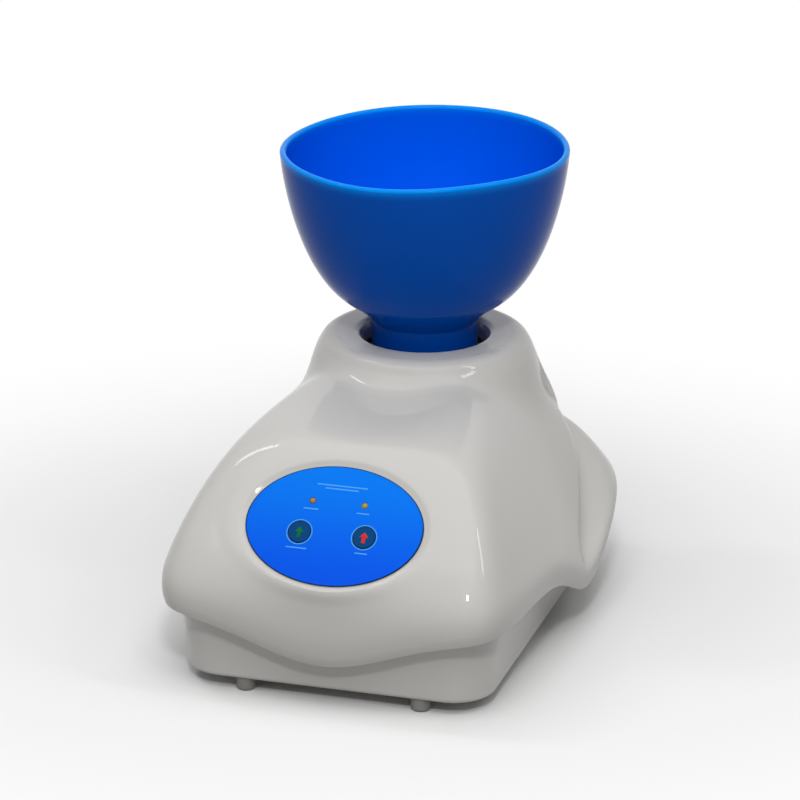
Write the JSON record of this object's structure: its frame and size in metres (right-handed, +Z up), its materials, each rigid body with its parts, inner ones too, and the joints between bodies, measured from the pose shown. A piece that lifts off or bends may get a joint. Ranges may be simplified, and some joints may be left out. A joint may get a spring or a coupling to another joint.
{
  "type": "dental impression mixer",
  "caption": "Bench-top mixer with a sculpted white housing, a sloping oval control panel and a flexible blue mixing bowl that turns in the neck.",
  "frame": {"origin": "on the table, under the middle of the machine's outline", "axes": "+Z up along the bowl's axis, -Y towards the control panel, +X to the right of someone facing the panel"},
  "size_m": [0.186, 0.2415, 0.2221],
  "materials": {
    "housing_white": "glossy",
    "base_grey": "semi-gloss",
    "panel_blue": "glossy printed film",
    "key_blue": "glossy",
    "lamp_amber": "translucent",
    "lamp_yellow": "translucent",
    "foot_rubber": "matte",
    "steel": "zinc plated",
    "cast_alloy": "as cast",
    "motor_steel": "satin",
    "board_green": "laminate",
    "black_plastic": "fine texture",
    "gear_nylon": "moulded",
    "brass": "machined",
    "transformer_iron": "varnished",
    "bowl_blue": "smooth semi-gloss"
  },
  "bodies": {
    "housing": {"top_cover": "housing_white", "base_tub": "base_grey", "control_panel": "panel_blue", "running_lamp": "lamp_amber", "power_lamp": "lamp_yellow", "rubber_feet": "foot_rubber", "foot_screws": "steel", "cover_screws": "steel", "board_screws": "steel", "plate_screws": "steel", "housing_screws": "steel", "motor_screws": "steel", "supply_screws": "steel", "chassis_pillars": "steel", "chassis_plate": "steel", "upper_bearing": "steel", "lower_bearing": "steel", "bearing_housing": "cast_alloy", "motor_body": "motor_steel", "control_board": "board_green", "supply_board": "board_green", "key_switches": "black_plastic", "mains_inlet": "black_plastic", "rocker_frame": "black_plastic", "smoothing_capacitor": "black_plastic", "inlet_pins": "brass", "transformer": "transformer_iron"},
    "spindle": {"spindle": "steel", "retaining_clip": "steel", "drive_gear": "gear_nylon", "bowl_hub": "black_plastic", "hub_screw": "steel"},
    "motor_rotor": {"motor_shaft": "steel", "motor_pinion": "brass"},
    "bowl": {"mixing_bowl": "bowl_blue"},
    "start_key": {"start_button": "key_blue"},
    "stop_key": {"stop_button": "key_blue"},
    "mains_rocker": {"power_rocker": "black_plastic"}
  },
  "joints": [
    {"name": "spindle_turn", "type": "hinge", "parent": "housing", "child": "spindle", "pos_m": [0, 0.04785, 0.09], "axis": [0, 0, 1], "continuous": true},
    {"name": "motor_turn", "type": "hinge", "parent": "housing", "child": "motor_rotor", "pos_m": [0, 0.00285, 0.08], "axis": [0, 0, 1], "continuous": true},
    {"name": "bowl_lift_off", "type": "slide", "parent": "spindle", "child": "bowl", "axis": [0, 0, 1], "range_m": [0, 0.04]},
    {"name": "start_press", "type": "slide", "parent": "housing", "child": "start_key", "axis": [0, 0.7302, -0.6833], "range_m": [0, 0.0008], "stiffness_N_per_m": 400, "springref_m": -0.0005},
    {"name": "stop_press", "type": "slide", "parent": "housing", "child": "stop_key", "axis": [0, 0.7302, -0.6833], "range_m": [0, 0.0008], "stiffness_N_per_m": 400, "springref_m": -0.0005},
    {"name": "mains_switch", "type": "hinge", "parent": "housing", "child": "mains_rocker", "pos_m": [0.03, 0.10095, 0.02429], "axis": [1, 0, 0], "range_deg": [0, 20]}
  ],
  "couplings": [
    {"joint": "motor_turn", "follows": "spindle_turn", "ratio": -3.2857}
  ]
}
